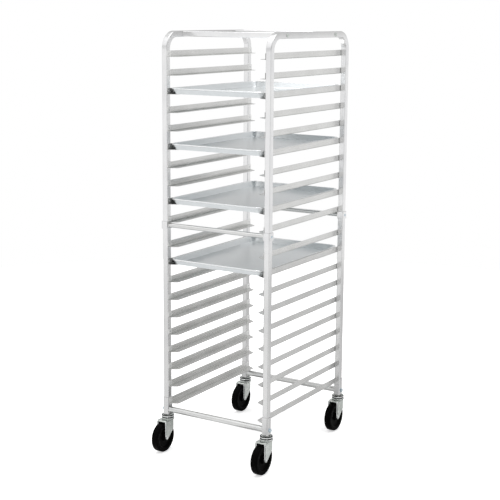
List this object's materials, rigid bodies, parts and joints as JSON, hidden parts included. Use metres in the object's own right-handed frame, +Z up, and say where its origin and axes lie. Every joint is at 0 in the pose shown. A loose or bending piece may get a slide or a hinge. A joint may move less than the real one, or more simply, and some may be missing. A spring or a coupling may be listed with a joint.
{
  "type": "sheet pan rack",
  "caption": "Tall open sheet pan rack of bent square aluminium tube, with angle runners down both sides, cross bars front and rear, swivel casters and end-loaded sheet pans on some levels.",
  "frame": {"origin": "bottom centre of the bounding box, on the floor under the middle of the rack; the posts' middle is 37 mm behind it because every caster trails forwards", "axes": "+Z up, -Y the loading front, +X the right-hand side seen from the loading front"},
  "size_m": [0.5512, 0.764, 1.7884],
  "materials": {
    "frame_aluminium": "satin mill-finish aluminium tube",
    "runner_aluminium": "satin extruded aluminium with faint lengthwise die lines",
    "pan_aluminium": "bright rolled aluminium sheet, lightly scuffed",
    "zinc_steel": "bright zinc-plated stamped steel",
    "black_rubber": "smooth black moulded rubber"
  },
  "bodies": {
    "rack_frame": {"left_side_frame": "frame_aluminium", "right_side_frame": "frame_aluminium", "front_top_crossmember": "frame_aluminium", "front_mid_crossbar": "frame_aluminium", "front_base_crossbar": "frame_aluminium", "rear_top_crossmember": "frame_aluminium", "rear_mid_crossbar": "frame_aluminium", "rear_base_crossbar": "frame_aluminium", "left_runner_01": "runner_aluminium", "right_runner_01": "runner_aluminium", "left_runner_02": "runner_aluminium", "right_runner_02": "runner_aluminium", "left_runner_03": "runner_aluminium", "right_runner_03": "runner_aluminium", "left_runner_04": "runner_aluminium", "right_runner_04": "runner_aluminium", "left_runner_05": "runner_aluminium", "right_runner_05": "runner_aluminium", "left_runner_06": "runner_aluminium", "right_runner_06": "runner_aluminium", "left_runner_07": "runner_aluminium", "right_runner_07": "runner_aluminium", "left_runner_08": "runner_aluminium", "right_runner_08": "runner_aluminium", "left_runner_09": "runner_aluminium", "right_runner_09": "runner_aluminium", "left_runner_10": "runner_aluminium", "right_runner_10": "runner_aluminium", "left_runner_11": "runner_aluminium", "right_runner_11": "runner_aluminium", "left_runner_12": "runner_aluminium", "right_runner_12": "runner_aluminium", "left_runner_13": "runner_aluminium", "right_runner_13": "runner_aluminium", "left_runner_14": "runner_aluminium", "right_runner_14": "runner_aluminium", "left_runner_15": "runner_aluminium", "right_runner_15": "runner_aluminium", "left_runner_16": "runner_aluminium", "right_runner_16": "runner_aluminium", "left_runner_17": "runner_aluminium", "right_runner_17": "runner_aluminium", "left_runner_18": "runner_aluminium", "right_runner_18": "runner_aluminium", "left_runner_19": "runner_aluminium", "right_runner_19": "runner_aluminium", "left_runner_20": "runner_aluminium", "right_runner_20": "runner_aluminium"},
    "front_left_fork": {"front_left_caster_fork": "zinc_steel"},
    "front_left_wheel": {"front_left_caster_wheel": "black_rubber"},
    "front_right_fork": {"front_right_caster_fork": "zinc_steel"},
    "front_right_wheel": {"front_right_caster_wheel": "black_rubber"},
    "rear_left_fork": {"rear_left_caster_fork": "zinc_steel"},
    "rear_left_wheel": {"rear_left_caster_wheel": "black_rubber"},
    "rear_right_fork": {"rear_right_caster_fork": "zinc_steel"},
    "rear_right_wheel": {"rear_right_caster_wheel": "black_rubber"},
    "pan_03": {"sheet_pan_03": "pan_aluminium"},
    "pan_06": {"sheet_pan_06": "pan_aluminium"},
    "pan_09": {"sheet_pan_09": "pan_aluminium"},
    "pan_12": {"sheet_pan_12": "pan_aluminium"}
  },
  "joints": [
    {"name": "front_left_caster_swivel", "type": "hinge", "parent": "rack_frame", "child": "front_left_fork", "pos_m": [-0.24765, -0.2805, 0.145], "axis": [0, 0, 1], "continuous": true},
    {"name": "front_left_wheel_spin", "type": "hinge", "parent": "front_left_fork", "child": "front_left_wheel", "pos_m": [-0.24765, -0.3185, 0.0635], "axis": [1, 0, 0], "continuous": true},
    {"name": "front_right_caster_swivel", "type": "hinge", "parent": "rack_frame", "child": "front_right_fork", "pos_m": [0.24765, -0.2805, 0.145], "axis": [0, 0, 1], "continuous": true},
    {"name": "front_right_wheel_spin", "type": "hinge", "parent": "front_right_fork", "child": "front_right_wheel", "pos_m": [0.24765, -0.3185, 0.0635], "axis": [1, 0, 0], "continuous": true},
    {"name": "rear_left_caster_swivel", "type": "hinge", "parent": "rack_frame", "child": "rear_left_fork", "pos_m": [-0.24765, 0.3545, 0.145], "axis": [0, 0, 1], "continuous": true},
    {"name": "rear_left_wheel_spin", "type": "hinge", "parent": "rear_left_fork", "child": "rear_left_wheel", "pos_m": [-0.24765, 0.3165, 0.0635], "axis": [1, 0, 0], "continuous": true},
    {"name": "rear_right_caster_swivel", "type": "hinge", "parent": "rack_frame", "child": "rear_right_fork", "pos_m": [0.24765, 0.3545, 0.145], "axis": [0, 0, 1], "continuous": true},
    {"name": "rear_right_wheel_spin", "type": "hinge", "parent": "rear_right_fork", "child": "rear_right_wheel", "pos_m": [0.24765, 0.3165, 0.0635], "axis": [1, 0, 0], "continuous": true},
    {"name": "pan_03_slide", "type": "slide", "parent": "rack_frame", "child": "pan_03", "axis": [0, -1, 0], "range_m": [0, 0.66]},
    {"name": "pan_06_slide", "type": "slide", "parent": "rack_frame", "child": "pan_06", "axis": [0, -1, 0], "range_m": [0, 0.66]},
    {"name": "pan_09_slide", "type": "slide", "parent": "rack_frame", "child": "pan_09", "axis": [0, -1, 0], "range_m": [0, 0.66]},
    {"name": "pan_12_slide", "type": "slide", "parent": "rack_frame", "child": "pan_12", "axis": [0, -1, 0], "range_m": [0, 0.66]}
  ]
}
